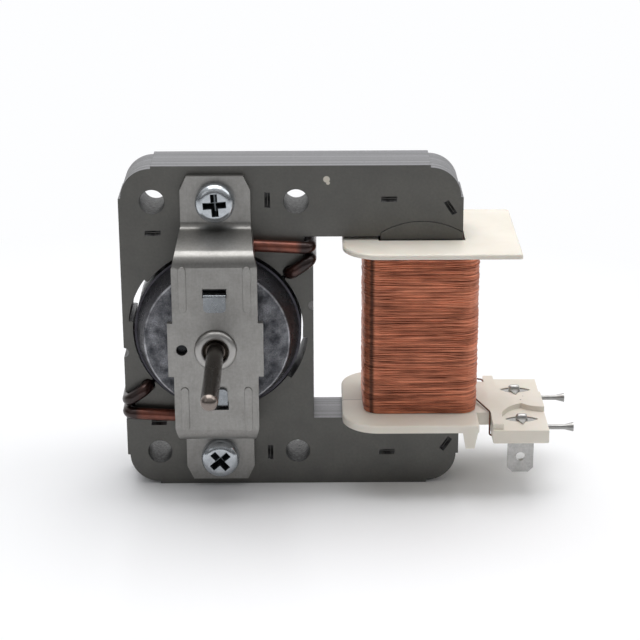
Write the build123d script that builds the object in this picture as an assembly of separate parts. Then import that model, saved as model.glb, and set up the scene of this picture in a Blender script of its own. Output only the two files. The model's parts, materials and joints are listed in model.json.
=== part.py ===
from build123d import *
import math
import os

os.makedirs("parts", exist_ok=True)

# A small shaded-pole AC motor with a C-shaped lamination stack, in millimetres.
# X runs right along the core, Y from the front face to the back, and Z up.
# The origin is the middle of the four mounting holes, on the core's front face.
# The rotor axis is parallel to Y, a little to the left of the origin.

# Lamination stack
core_width = 61.0
core_height = 61.0
core_depth = 10.0
corner_reach = 5.9
corner_step = 0.45
bar_height = 13.05
bore_bar = 15.15
pole_wall = 1.85
window_width = 12.0
hole_left_inset = 6.0
hole_right_inset = 3.0
hole_edge = 6.5
hole_diameter = 4.4
step_depth = 0.8
step_start_angle = 144.0
step_end_angle = 174.0
index_radius = 0.9
index_fall = 13.0
dent_length = 2.8
dent_side = 0.7
dent_shares = (
    (0.098, 0.597, 0),
    (0.432, 0.795, 90),
    (0.784, 0.797, 0),
    (0.962, 0.744, 57),
)

# Straight leg that carries the coil, with crowned ends let into the two bars
leg_shoulder = 0.65
leg_crown = 2.1
leg_fit = 0.03

# Shading rings, two on each pole, closed loops of bare wire
ring_wire = 2.2
ring_bend = 1.35
ring_lift = 0.12
ring_fit = 0.1
ring_bridge = 0.45
ring_slit = 0.7
notch_depth = 1.7
notch_height = 5.25
large_ring_lead = 33.1
small_ring_fall = 1.39
large_ring_drop = 0.6

# Rotor
air_gap = 0.35
rotor_overhang = 0.8
bar_count = 17
bar_diameter = 2.0
bar_cover = 0.5
cast_fit = 0.02
ring_height = 4.7
ring_rim = 0.4
ring_taper = 1.6
ring_inner_share = 0.4667
ring_edge = 0.4
shaft_diameter = 3.4
shaft_front_reach = 35.6
shaft_rear_reach = 11.6
shaft_tip_round = 1.4
shaft_tail_chamfer = 0.3
seat_relief = 0.2
seat_start = 11.2
spacer_diameter = 6.0
washer_thickness = 0.5
end_play = 0.3
press_gap = 0.02

# Bearing brackets, bent from strip
sheet = 1.2
bracket_rise = 10.5
bracket_edge = 1.5
foot_bend = 2.0
plate_bend = 2.2
tab_half_width = 6.2
tab_end_half_width = 5.0
tab_end_length = 2.6
foot_length = 9.1
step_run = 2.54
taper_length = 2.36
plate_half_width = 7.45
middle_half_width = 8.4
middle_half_length = 5.0
boss_diameter = 7.5
boss_height = 1.1
boss_hole = 4.4
boss_round_share = 0.58
boss_lip_share = 0.26
vent_diameter = 2.0
vent_offset = 5.95
rib_offset = 5.6
rib_width = 1.4
rib_height = 0.25
rib_round = 0.12
rib_start = 7.0
rib_end_gap = 1.9
slot_half_width = 2.1
slot_inner = 9.75
slot_outer = 11.35

# Self-aligning bearing, its oil felt and its spring retainer
bearing_sphere = 7.2
bearing_length = 5.2
bearing_centre = 8.0
bearing_running = 0.03
seat_gap = 0.05
retainer_sheet = 0.55
retainer_cup_radius = 5.4
retainer_flange_radius = 7.0
retainer_floor = 6.2
retainer_gap = 0.05
tongue_half_width = 1.95
tongue_sheet = 0.6
tongue_end = 7.2
tongue_end_radius = 0.8
tongue_bend = 0.4
felt_gap = 0.05

# Bracket screws
screw_edge = 6.1
screw_diameter = 3.5
screw_head_diameter = 7.0
screw_head_height = 2.6
screw_head_round = 1.4
screw_clearance = 0.2
screw_end_reach = 3.0
thread_fit = 0.03
collar_diameter = 5.4
collar_height = 1.0
recess_length = 3.1
recess_width = 0.2
recess_depth = 1.9
recess_taper = 15
screw_turns = (4, 41)

# Bobbin
leg_clearance = 0.45
bobbin_wall = 0.9
top_flange = 0.9
bottom_flange = 1.4
top_flange_gap = 0.65
bottom_flange_gap = 0.55
flange_overhang = 8.65
flange_left_reach = 6.8
top_flange_right_reach = 9.9
bottom_flange_right_reach = 3.1
flange_corner = 6.5
flange_small_corner = 0.6
flange_edge_round = 0.4
hook_width = 2.7
hook_tip_width = 1.6
hook_drop = 3.0
hook_thickness = 1.6
hook_inset = 0.3
bridge_length = 2.6
bridge_half_depth = 7.5
bridge_thickness = 2.4
block_length = 10.1
block_half_depth = 12.4
block_drop = 1.5
block_thickness = 2.6
block_edge = 0.25
plateau_height = 1.0
strip_width = 1.9
strip_inset = 0.6
cusp_share = 0.5
scoop_shares = (1.0, 0.3, 0.6, 0.26, 0.4, 0.44, 0.52)

# Terminals, push-on tabs staked in the block, each with a side post
terminal_pitch = 14.0
terminal_inset = 5.6
tab_width = 4.75
tab_thickness = 0.8
tab_length = 7.8
tab_chamfer = 0.9
tab_hole = 1.7
tab_hole_height = 3.1
tab_shoulder_width = 0.65
tab_shoulder_drop = 1.5
terminal_fit = 0.05
stake_width = 2.1
stake_rise = 0.25
roll_diameter = 1.3
roll_round = 0.5
roll_setback = 0.3
ear_length = 5.6
ear_width = 1.9
ear_setback = 0.1
ear_sink = 0.15
leaf_start = 0.3
leaf_bend = 1.0
leaf_reach = 2.7
leaf_sheet = 0.25
lens_length = 6.2
lens_width = 2.6
lens_depth = 0.7
post_diameter = 0.95
post_height = 1.0
post_reach = 5.0
flare_diameter = 1.75
flare_length = 1.6
flare_bore = 1.1

# Coil, a plain wound mass under one visible outer layer
coil_build = 1.85
coil_gap = 0.44
coil_wire = 0.82
coil_corner = 3.2
coil_end_gap = 0.1
coil_layer_gap = 0.04
tube_gap = 0.05
lead_wire = 0.3
lead_lift = 0.04
lead_bend = 0.45
lead_ledge_share = 0.62

overrun = 5.0

# Places that follow from the sizes above
bore_radius = core_height / 2 - bore_bar
pole_half_width = bore_radius + pole_wall
leg_width = core_width - 2 * pole_half_width - window_width
hole_spacing_x = 2 * pole_half_width - hole_left_inset - hole_right_inset
hole_spacing_z = core_height - 2 * hole_edge
screw_spacing = core_height - 2 * screw_edge
rotor_x = (hole_right_inset - hole_left_inset) / 2
core_left = rotor_x - pole_half_width
core_right = core_left + core_width
core_middle_x = (core_left + core_right) / 2
core_middle_y = core_depth / 2
window_left = rotor_x + pole_half_width
window_half_height = core_height / 2 - bar_height
index_drop = window_half_height - index_fall
leg_left = core_right - leg_width
leg_middle_x = core_right - leg_width / 2
ring_slot_radius = bore_radius + ring_bridge + ring_wire / 2
ring_outer_x = pole_half_width - notch_depth + ring_fit + ring_wire / 2
large_ring_outer_z = window_half_height - large_ring_drop - ring_wire / 2
small_ring_outer_z = window_half_height - notch_height + ring_fit + ring_wire / 2
large_ring_angle = math.degrees(math.atan2(large_ring_outer_z, ring_outer_x)) + large_ring_lead
small_ring_inner_z = window_half_height - notch_height - small_ring_fall
small_ring_angle = math.degrees(math.asin(small_ring_inner_z / ring_slot_radius))
rotor_radius = bore_radius - air_gap
ring_inner_radius = rotor_radius * ring_inner_share
cage_height = rotor_overhang + ring_height
bracket_length = core_height - 2 * bracket_edge
step_foot = bracket_length / 2 - foot_length
plate_half_length = step_foot - step_run
rib_end = plate_half_length - rib_end_gap
plate_back = bracket_rise - sheet
bearing_inner_face = bearing_centre - bearing_length / 2
washer_top = bearing_inner_face - end_play
spacer_top = washer_top - washer_thickness
tube_half_x = leg_width / 2 + leg_clearance + bobbin_wall
tube_half_y = core_depth / 2 + leg_clearance + bobbin_wall
coil_top = window_half_height - top_flange_gap - top_flange
coil_bottom = bottom_flange_gap + bottom_flange - window_half_height
flange_left = leg_left - flange_left_reach
bridge_left = core_right + bottom_flange_right_reach
block_left = bridge_left + bridge_length
block_right = block_left + block_length
block_top = coil_bottom - block_drop
block_bottom = block_top - block_thickness
coil_rise = coil_top - coil_bottom - 2 * coil_end_gap - coil_wire
coil_turns = int(coil_rise / (coil_wire + coil_gap))
terminal_x = block_left + terminal_inset
post_z = block_bottom + post_height
lead_stand = lead_bend - (lead_bend - lead_wire / 2) / math.sqrt(2) + lead_lift

# Local axes of the two faces of the core: X, then Z up, then outwards from the face
front_face = Plane(origin=(0, 0, 0), x_dir=(1, 0, 0), z_dir=(0, -1, 0))
front_axis = Plane(origin=(rotor_x, 0, 0), x_dir=(1, 0, 0), z_dir=(0, -1, 0))
rear_axis = Plane(origin=(rotor_x, core_depth, 0), x_dir=(-1, 0, 0), z_dir=(0, 1, 0))


def between(low, high, sketch):
    """The sketch, extruded from one height to another along its local axis."""
    return Pos(0, 0, low) * extrude(sketch, amount=high - low)


def tube(outer, inner, low, high):
    """A ring about the local axis."""
    return between(low, high, Circle(outer) - Circle(inner))


def polar(radius, angle):
    """A point at an angle in degrees about the rotor axis."""
    turn = math.radians(angle)
    return (radius * math.cos(turn), radius * math.sin(turn))


def both_turns(sketch):
    """A sketch and its copy half a turn on about the rotor axis."""
    return sketch + Rot(0, 0, 180) * sketch


def rectangle_between(left, right, low, high):
    """A rectangle given by its sides."""
    return Pos((left + right) / 2, (low + high) / 2) * Rectangle(right - left, high - low)


# Lamination stack and coil leg
def leg_outline(grow):
    """The coil leg seen from the front, with its crowned ends, grown all round."""
    half = leg_width / 2 + grow
    shoulder = window_half_height + leg_shoulder + grow
    apex = shoulder + leg_crown
    edges = [
        Line((half, -shoulder), (half, shoulder)),
        ThreePointArc((half, shoulder), (0, apex), (-half, shoulder)),
        Line((-half, shoulder), (-half, -shoulder)),
        ThreePointArc((-half, -shoulder), (0, -apex), (half, -shoulder)),
    ]
    return Pos(leg_middle_x, 0) * make_face(edges)


def core_outline():
    """The square stack with its four stepped, rounded corners."""
    outline = Rectangle(core_width, core_height - 2 * corner_reach)
    outline += Rectangle(core_width - 2 * corner_reach, core_height)
    across = core_width / 2 - corner_reach
    up = core_height / 2 - corner_reach
    for corner in ((across, up), (-across, up), (across, -up), (-across, -up)):
        outline += Pos(*corner) * Circle(corner_reach - corner_step)
    return Pos(core_middle_x, 0) * outline


def bore_outline():
    """The rotor bore with its stepped gaps, ring slots, ring notches and index notches."""
    step_radius = bore_radius + step_depth
    sector = Polygon(
        (0, 0),
        polar(2 * step_radius, step_start_angle),
        polar(2 * step_radius, step_end_angle),
        align=None,
    )
    cut = Circle(bore_radius) + both_turns(sector & Circle(step_radius))
    for angle in (large_ring_angle, small_ring_angle):
        slot = Pos(*polar(ring_slot_radius, angle)) * Circle(ring_wire / 2 + ring_fit)
        slit = Rot(0, 0, angle) * rectangle_between(
            rotor_radius, ring_slot_radius, -ring_slit / 2, ring_slit / 2
        )
        cut += both_turns(slot + slit)
    notch = rectangle_between(
        pole_half_width - notch_depth,
        pole_half_width + ring_fit,
        window_half_height - notch_height,
        window_half_height,
    )
    cut += both_turns(notch)
    cut += both_turns(Pos(pole_half_width, index_drop) * Circle(index_radius))
    return Pos(rotor_x, 0) * cut


def interlock_dents():
    """The shallow V marks that lock the sheets together."""
    dents = []
    for across_share, up_share, angle in dent_shares:
        for side in (1, -1):
            place = Pos(core_left + across_share * core_width, side * up_share * core_height / 2)
            groove = Rot(45, 0, 0) * Box(dent_length, dent_side, dent_side)
            dents.append(place * Rot(0, 0, -side * angle) * groove)
    return dents


def stator_core():
    outline = core_outline() - leg_outline(leg_fit) - bore_outline()
    outline -= rectangle_between(window_left, leg_middle_x, -window_half_height, window_half_height)
    for x in (-hole_spacing_x / 2, hole_spacing_x / 2):
        for z in (-hole_spacing_z / 2, hole_spacing_z / 2):
            outline -= Pos(x, z) * Circle(hole_diameter / 2)
    for z in (-screw_spacing / 2, screw_spacing / 2):
        outline -= Pos(rotor_x, z) * Circle(screw_diameter / 2 + screw_clearance)
    stack = between(-core_depth, 0, outline) - interlock_dents()
    return front_face * stack


def coil_leg():
    return front_face * between(-core_depth, 0, leg_outline(0))


def shading_ring(inner_angle, outer_z, turned):
    """A closed wire loop through a slot beside the bore and a notch in the pole's side."""
    inner_x, inner_z = polar(ring_slot_radius, inner_angle)
    lift = ring_wire / 2 + ring_lift
    far = -core_depth - lift
    corners = [
        (ring_outer_x, outer_z, lift),
        (inner_x, inner_z, lift),
        (inner_x, inner_z, far),
        (ring_outer_x, outer_z, far),
    ]
    path = FilletPolyline(*corners, radius=ring_bend, close=True)
    start = path.edges()[0]
    section = Plane(origin=start @ 0, z_dir=start % 0) * Circle(ring_wire / 2)
    loop = sweep(section, path=path.wire())
    return front_axis * (Rot(0, 0, 180 if turned else 0) * loop)


# Rotor
def bar_places():
    return PolarLocations(rotor_radius - bar_cover - bar_diameter / 2, bar_count)


def rotor_core():
    outline = Circle(rotor_radius) - Circle(shaft_diameter / 2 + press_gap)
    outline -= bar_places() * Circle(bar_diameter / 2)
    return front_axis * between(-core_depth - rotor_overhang, rotor_overhang, outline)


def cage_ring():
    """One cast end ring, with its drafted rim."""
    base_radius = rotor_radius - ring_rim
    profile = Polygon(
        (ring_inner_radius, rotor_overhang),
        (base_radius, rotor_overhang),
        (base_radius - ring_taper, cage_height),
        (ring_inner_radius, cage_height),
        align=None,
    )
    ring = revolve(Plane.XZ * profile, axis=Axis.Z)
    return fillet(ring.edges().filter_by(GeomType.CIRCLE).group_by(Axis.Z)[-1], ring_edge)


def rotor_cage():
    """The cast cage: two end rings joined by bars through the rotor stack."""
    rings = front_axis * cage_ring() + rear_axis * cage_ring()
    bars = Sketch() + bar_places() * Circle(bar_diameter / 2 - cast_fit)
    reach = rotor_overhang + ring_edge
    return rings + front_axis * between(-core_depth - reach, reach, bars)


def shaft():
    """The steel shaft, with a shoulder behind the seat of the fan hub."""
    rear = -core_depth - shaft_rear_reach
    journal = between(rear, seat_start, Circle(shaft_diameter / 2))
    seat = between(seat_start, shaft_front_reach, Circle(shaft_diameter / 2 - seat_relief))
    rod = journal + seat
    rod = chamfer(rod.edges().filter_by(GeomType.CIRCLE).group_by(Axis.Z)[0], shaft_tail_chamfer)
    tip = rod.edges().filter_by(GeomType.CIRCLE).group_by(Axis.Z)[-1]
    return front_axis * fillet(tip, shaft_tip_round)


def rotor_spacer(face):
    return face * tube(spacer_diameter / 2, shaft_diameter / 2 + press_gap, rotor_overhang, spacer_top)


def thrust_washer(face):
    return face * tube(spacer_diameter / 2, shaft_diameter / 2 + press_gap, spacer_top, washer_top)


# Bearing brackets
def bracket_strip():
    """The bent strip seen from its side, as wide as its widest part."""
    half = sheet / 2
    foot_z = step_foot - half
    top_z = plate_half_length - half
    line = FilletPolyline(
        (-bracket_length / 2, half),
        (-foot_z, half),
        (-top_z, bracket_rise - half),
        (top_z, bracket_rise - half),
        (foot_z, half),
        (bracket_length / 2, half),
        radius=[foot_bend, plate_bend, plate_bend, foot_bend],
    )
    side = Plane(origin=(0, 0, 0), x_dir=(0, 1, 0), z_dir=(1, 0, 0))
    profile = side * trace(line, line_width=sheet)
    return extrude(profile, amount=middle_half_width, both=True)


def bracket_plan():
    """The strip's outline seen from the front."""
    end = bracket_length / 2
    right = [
        (middle_half_width, 0),
        (middle_half_width, middle_half_length),
        (plate_half_width, middle_half_length),
        (plate_half_width, plate_half_length - taper_length),
        (tab_half_width, step_foot),
        (tab_half_width, end - tab_end_length),
        (tab_end_half_width, end),
    ]
    upper = right + [(-x, z) for x, z in reversed(right)]
    lower = [(x, -z) for x, z in reversed(upper[1:-1])]
    return Polygon(*upper, *lower, align=None)


def bearing_boss():
    """The rounded collar that stands out round the shaft."""
    wall = (boss_diameter - boss_hole) / 2
    boss = tube(boss_diameter / 2, boss_hole / 2, plate_back, bracket_rise + boss_height)
    lip = boss.edges().group_by(Axis.Z)[-1].sort_by(SortBy.LENGTH)[0]
    boss = fillet(lip, wall * boss_lip_share)
    rim = boss.edges().group_by(Axis.Z)[-1].sort_by(SortBy.LENGTH)[-1]
    return fillet(rim, wall * boss_round_share)


def stiffening_ribs():
    ribs = []
    for x in (-rib_offset, rib_offset):
        for side in (1, -1):
            middle = side * (rib_start + rib_end) / 2
            outline = Pos(x, middle) * Rot(0, 0, 90) * SlotOverall(rib_end - rib_start, rib_width)
            rib = between(bracket_rise - rib_height, bracket_rise + rib_height, outline)
            ribs.append(fillet(rib.edges().group_by(Axis.Z)[-1], rib_round))
    return ribs


def bracket(screw_hole_radius, collared):
    """A bracket in the axes of its face, with the bearing seat formed in its plate."""
    strip = bracket_strip() & between(0, bracket_rise + overrun, bracket_plan())
    strip = strip + bearing_boss() + stiffening_ribs()
    screw_places = Locations((0, screw_spacing / 2), (0, -screw_spacing / 2))
    if collared:
        strip += screw_places * between(0, sheet + collar_height, Circle(collar_diameter / 2))
    holes = Sketch() + screw_places * Circle(screw_hole_radius)
    holes += Pos(-vent_offset, 0) * Circle(vent_diameter / 2)
    holes += Circle(boss_hole / 2)
    for low, high in ((slot_inner, slot_outer), (-slot_outer, -slot_inner)):
        holes += rectangle_between(-slot_half_width, slot_half_width, low, high)
    seat = Pos(0, 0, bearing_centre) * Sphere(bearing_sphere / 2 + seat_gap)
    return strip - between(-overrun, bracket_rise + overrun, holes) - seat


def front_bracket():
    return front_axis * bracket(screw_diameter / 2 + screw_clearance, False)


def rear_bracket():
    return rear_axis * bracket(screw_diameter / 2 + thread_fit, True)


# Bearings
def bearing(face):
    """A porous bush with a round outside, so that it lines itself up with the shaft."""
    ball = Pos(0, 0, bearing_centre) * Sphere(bearing_sphere / 2)
    half = bearing_length / 2
    bore = shaft_diameter / 2 + bearing_running
    body = tube(bearing_sphere, bore, bearing_centre - half, bearing_centre + half)
    return face * (ball & body)


def oil_felt(face):
    outer = retainer_cup_radius - retainer_sheet - felt_gap
    inner = bearing_sphere / 2 + felt_gap
    low = retainer_floor + retainer_sheet + felt_gap
    return face * tube(outer, inner, low, plate_back - felt_gap)


def retainer_tongue():
    """A tongue that goes out through the bracket's slot and folds over its front."""
    low = plate_back - retainer_gap - retainer_sheet
    over = bracket_rise + retainer_gap
    outer = slot_inner + retainer_gap + tongue_sheet
    width = tongue_half_width
    arm = between(low, low + retainer_sheet, rectangle_between(-width, width, retainer_cup_radius, outer))
    riser = between(low, over + tongue_sheet, rectangle_between(-width, width, outer - tongue_sheet, outer))
    fold = between(over, over + tongue_sheet, rectangle_between(-width, width, tongue_end, outer))
    fold = fillet(fold.edges().filter_by(Axis.Z).group_by(Axis.Y)[0], tongue_end_radius)
    tongue = arm + riser + fold
    bend = tongue.edges().filter_by(Axis.X).group_by(Axis.Z)[-1].group_by(Axis.Y)[-1]
    return fillet(bend, tongue_bend)


def bearing_retainer(face):
    """A sprung cup that holds the bearing and felt against the bracket's seat."""
    top = plate_back - retainer_gap
    floor = retainer_floor + retainer_sheet
    hole = math.sqrt((bearing_sphere / 2) ** 2 - (bearing_centre - floor) ** 2) + seat_gap
    inner = retainer_cup_radius - retainer_sheet
    cup = tube(retainer_cup_radius, inner, retainer_floor, top)
    cup += tube(retainer_cup_radius, hole, retainer_floor, floor)
    cup += tube(retainer_flange_radius, inner, top - retainer_sheet, top)
    return face * (cup + retainer_tongue() + Rot(0, 0, 180) * retainer_tongue())


# Fasteners
def bracket_screw(turn):
    """A pan-head screw with a cross recess, its head on the front bracket."""
    top = sheet + screw_head_height
    head = between(sheet, top, Circle(screw_head_diameter / 2))
    head = fillet(head.edges().group_by(Axis.Z)[-1], screw_head_round)
    shank = between(-core_depth - screw_end_reach, top - screw_head_round, Circle(screw_diameter / 2))
    cross = Rectangle(recess_length, recess_width) + Rectangle(recess_width, recess_length)
    floor = Pos(0, 0, top - recess_depth) * Rot(0, 0, turn) * cross
    recess = extrude(floor, amount=recess_depth, taper=-recess_taper)
    return head + shank - recess


def bracket_screws():
    heights = (screw_spacing / 2, -screw_spacing / 2)
    screws = [front_axis * (Pos(0, z) * bracket_screw(turn)) for z, turn in zip(heights, screw_turns)]
    return Compound(children=screws)


# Bobbin
def flange(right_reach, low, high):
    """A flange with two round corners towards the poles and two nearly square ones."""
    plan = rectangle_between(
        flange_left, core_right + right_reach, -flange_overhang, core_depth + flange_overhang
    )
    left = plan.vertices().group_by(Axis.X)[0]
    plan = fillet(left, flange_corner)
    plan = fillet(plan.vertices().group_by(Axis.X)[-1], flange_small_corner)
    plate = between(low, high, plan)
    return fillet(plate.edges().group_by(Axis.Z)[-1], flange_edge_round)


def hook(side):
    """A tapered tongue that hangs from a corner of the lower flange."""
    right = bridge_left - hook_inset
    top = coil_bottom - bottom_flange
    slack = (hook_width - hook_tip_width) / 2
    outline = Polygon(
        (right, top),
        (right - hook_width, top),
        (right - slack - hook_tip_width, top - hook_drop),
        (right - slack, top - hook_drop),
        align=None,
    )
    outer = core_middle_y + side * (core_middle_y + flange_overhang)
    tongue = extrude(Plane.XZ * outline, amount=side * hook_thickness)
    return Pos(0, outer, 0) * tongue


def plateau():
    """The raised part of the terminal block: a strip with a scooped arm between the tabs."""
    inner = block_left + strip_width
    half = terminal_pitch / 2
    cusp = inner + (block_right - inner) * cusp_share
    points = [
        (inner, half * scoop_shares[0]),
        (inner + (cusp - inner) * scoop_shares[1], half * scoop_shares[2]),
        (cusp, half * scoop_shares[3]),
        (cusp + (block_right - cusp) * scoop_shares[4], half * scoop_shares[5]),
        (block_right, half * scoop_shares[6]),
    ]
    rear_edge = [ThreePointArc(*points[:3]), ThreePointArc(*points[2:])]
    front_edge = [mirror(edge, about=Plane.XZ) for edge in rear_edge]
    closing = [Line((x, -y), (x, y)) for x, y in (points[0], points[-1])]
    arm = make_face(rear_edge + front_edge + closing)
    reach = block_half_depth - strip_inset
    strip = rectangle_between(block_left, inner, -reach, reach)
    return Pos(0, core_middle_y) * between(block_top, block_top + plateau_height, strip + arm)


def lens_outline(length, width):
    """A pointed oval, the shape of the opening round a staked terminal and of its ears."""
    half = length / 2
    edges = [
        ThreePointArc((-half, 0), (0, width / 2), (half, 0)),
        ThreePointArc((half, 0), (0, -width / 2), (-half, 0)),
    ]
    return make_face(edges)


def terminal_places():
    return [(terminal_x, core_middle_y + side * terminal_pitch / 2) for side in (-1, 1)]


def terminal_block():
    """The block that carries the two terminals, with the bridge that joins it to the flange."""
    bridge = Pos(0, core_middle_y) * rectangle_between(
        bridge_left - flange_small_corner, block_left, -bridge_half_depth, bridge_half_depth
    )
    base = Pos(0, core_middle_y) * rectangle_between(
        block_left, block_right, -block_half_depth, block_half_depth
    )
    block = between(block_bottom, block_top, base)
    block = chamfer(block.edges().group_by(Axis.Z)[0], block_edge)
    block += between(coil_bottom - bridge_thickness, coil_bottom, bridge) + plateau()
    opening = between(block_top - lens_depth, block_top + overrun, lens_outline(lens_length, lens_width))
    for x, y in terminal_places():
        block -= Pos(x, y) * opening
    return block


def bobbin():
    """The moulded spool with its two flanges, its hooks and its terminal block."""
    middle = Pos(leg_middle_x, core_middle_y)
    top = window_half_height - top_flange_gap
    bottom = bottom_flange_gap - window_half_height
    body = middle * between(bottom, top, Rectangle(2 * tube_half_x, 2 * tube_half_y))
    body += flange(top_flange_right_reach, coil_top, top)
    body += flange(bottom_flange_right_reach, bottom, coil_bottom)
    body += hook(-1) + hook(1) + terminal_block()
    hollow = Rectangle(leg_width + 2 * leg_clearance, core_depth + 2 * leg_clearance)
    body -= middle * between(-core_height / 2, core_height / 2, hollow)
    for x, y in terminal_places():
        body -= Pos(x, y) * terminal_body(terminal_fit)
    return body


# Terminals
def terminal_body(grow):
    """A terminal about its own axis: tab, shoulder, stake and side post, grown all round."""
    half = tab_width / 2 + grow
    tip = block_bottom - tab_length
    floor = block_top - lens_depth
    tab = rectangle_between(-half, half, tip, floor)
    shoulder = rectangle_between(
        -half - tab_shoulder_width, 0, block_bottom - tab_shoulder_drop, block_bottom
    )
    stake = rectangle_between(
        -stake_width / 2 - grow, stake_width / 2 + grow, block_bottom, block_top + stake_rise
    )
    face = chamfer(tab.vertices().group_by(Axis.Y)[0], tab_chamfer) + shoulder + stake
    face -= Pos(0, tip + tab_hole_height) * Circle(tab_hole / 2)
    thickness = tab_thickness / 2 + grow
    blade = extrude(Plane.XZ * face, amount=thickness, both=True)
    reach = block_right + post_reach - terminal_x
    post = between(0, reach, Circle(post_diameter / 2 + grow))
    flare = Cone(post_diameter / 2, flare_diameter / 2, flare_length)
    bore = Cylinder(flare_bore / 2, flare_length)
    post = post + Pos(0, 0, reach - flare_length / 2) * flare - Pos(0, 0, reach) * bore
    return blade + Pos(0, 0, post_z) * Rot(0, 90, 0) * post


def bent_leaf():
    """The pointed tongue of a terminal, bent forward over the edge of its opening."""
    floor = block_top - lens_depth + terminal_fit
    over = block_top + terminal_fit
    side = Polygon(
        (-leaf_start, floor),
        (-leaf_start, floor + leaf_sheet),
        (-leaf_bend, over + leaf_sheet),
        (-leaf_reach, over + leaf_sheet),
        (-leaf_reach, over),
        (-leaf_bend, over),
        (-leaf_start - leaf_sheet, floor),
        align=None,
    )
    half = stake_width / 2
    plan = Polygon((-half, -leaf_start), (0, -leaf_reach), (half, -leaf_start), align=None)
    strip = extrude(Plane.YZ * side, amount=half, both=True)
    return strip & between(floor, block_top + overrun, plan)


def staked_head():
    """What shows of a terminal on top of the block: its rolled head, its ears and its leaf."""
    roll = Pos(0, roll_setback, block_top + stake_rise) * Rot(0, 90, 0)
    bar = Cylinder(roll_diameter / 2, stake_width)
    head = roll * fillet(bar.edges().filter_by(GeomType.CIRCLE), roll_round)
    floor = block_top - lens_depth + terminal_fit
    ears = between(floor, block_top - ear_sink, lens_outline(ear_length, ear_width))
    return head + Pos(0, ear_setback) * ears + bent_leaf()


def terminal(place):
    x, y = place
    return Pos(x, y) * (terminal_body(0) + staked_head())


# Coil
def coil_core():
    """The wound mass under the outer layer."""
    inner = tube_gap
    outer = coil_build - coil_wire - coil_layer_gap
    corner = coil_corner - coil_wire
    ring = RectangleRounded(2 * (tube_half_x + outer), 2 * (tube_half_y + outer), corner)
    ring -= Rectangle(2 * (tube_half_x + inner), 2 * (tube_half_y + inner))
    spool = between(coil_bottom + coil_end_gap, coil_top - coil_end_gap, ring)
    return Pos(leg_middle_x, core_middle_y) * spool


def turn_edges(half_x, half_y, low, high, start_y):
    """One turn from the right side round the back, where it climbs, and back to the right side."""
    bend = coil_corner - coil_wire / 2
    flat_x = half_x - bend
    flat_y = half_y - bend
    middle = (0, half_y, (low + high) / 2)
    climb_start = (flat_x, half_y, low)
    climb_end = (-flat_x, half_y, high)
    return [
        Line((half_x, start_y, low), (half_x, flat_y, low)),
        TangentArc((half_x, flat_y, low), climb_start, tangent=(0, 1, 0)),
        TangentArc(climb_start, middle, tangent=(-1, 0, 0)),
        TangentArc(climb_end, middle, tangent=(1, 0, 0)),
        TangentArc(climb_end, (-half_x, flat_y, high), tangent=(-1, 0, 0)),
        Line((-half_x, flat_y, high), (-half_x, -flat_y, high)),
        TangentArc((-half_x, -flat_y, high), (-flat_x, -half_y, high), tangent=(0, -1, 0)),
        Line((-flat_x, -half_y, high), (flat_x, -half_y, high)),
        TangentArc((flat_x, -half_y, high), (half_x, -flat_y, high), tangent=(1, 0, 0)),
        Line((half_x, -flat_y, high), (half_x, start_y, high)),
    ]


def coil_path():
    """The outer layer's wire, from its lower end on the right side up to the top."""
    half_x = tube_half_x + coil_build - coil_wire / 2
    half_y = tube_half_y + coil_build - coil_wire / 2
    low = coil_bottom + coil_end_gap + coil_wire / 2
    pitch = coil_rise / coil_turns
    edges = []
    for turn in range(coil_turns):
        edges += turn_edges(half_x, half_y, low + turn * pitch, low + (turn + 1) * pitch, 0)
    return Pos(leg_middle_x, core_middle_y) * Wire([edge.edge() for edge in edges])


def least_self_gap(path, diameter, turns):
    """The least gap between a wound wire and its next turn, on points along the path."""
    per_turn = 60
    count = per_turn * turns
    points = [path.position_at(step / count) for step in range(count + 1)]
    nearest = math.inf
    for first in range(count + 1):
        for second in range(first + per_turn // 2, min(count + 1, first + 2 * per_turn)):
            nearest = min(nearest, (points[first] - points[second]).length)
    return nearest - diameter


def coil_winding():
    """The visible outer layer, one unbroken wire."""
    path = coil_path()
    print("coil winding, least gap to itself:", round(least_self_gap(path, coil_wire, coil_turns), 3))
    section = Plane(origin=path @ 0, z_dir=path % 0) * Circle(coil_wire / 2)
    return sweep(section, path=path)


def wire_along(points, diameter):
    """A taut round wire along straight runs, bent closely round each corner."""
    path = FilletPolyline(*points, radius=lead_bend).wire()
    section = Plane(origin=path @ 0, z_dir=path % 0) * Circle(diameter / 2)
    return sweep(section, path=path)


def lead_end(side):
    """The last stretch of a lead: down the block's inner wall and under it to the tab's root."""
    wall = block_left - lead_stand
    under = block_bottom - lead_stand
    edge_y = core_middle_y + side * (bridge_half_depth + lead_stand)
    joint_y = core_middle_y + side * (terminal_pitch / 2 + tab_thickness / 2 + lead_wire / 2 + lead_lift)
    return [
        (wall, edge_y, coil_bottom + lead_stand),
        (wall, edge_y, under),
        (terminal_x, joint_y, under),
    ]


def front_lead():
    """The wire from the outer layer's lower end over the bridge to the front terminal."""
    start_x = leg_middle_x + tube_half_x + coil_build - coil_wire / 2
    start_z = coil_bottom + coil_end_gap + coil_wire / 2
    points = [
        (start_x, core_middle_y, start_z),
        (start_x, core_middle_y - coil_wire, start_z),
    ]
    return wire_along(points + lead_end(-1), lead_wire)


def rear_lead():
    """The wire from the inner layers along the rear of the lower flange to the rear terminal."""
    start_x = leg_middle_x - tube_half_x + coil_corner
    start_y = core_middle_y + tube_half_y + coil_build - coil_wire - coil_layer_gap
    ledge_y = core_depth + flange_overhang * lead_ledge_share
    level = coil_bottom + lead_stand
    points = [
        (start_x, start_y, level),
        (start_x, ledge_y, level),
        (core_right, ledge_y, level),
    ]
    return wire_along(points + lead_end(1), lead_wire)


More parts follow.
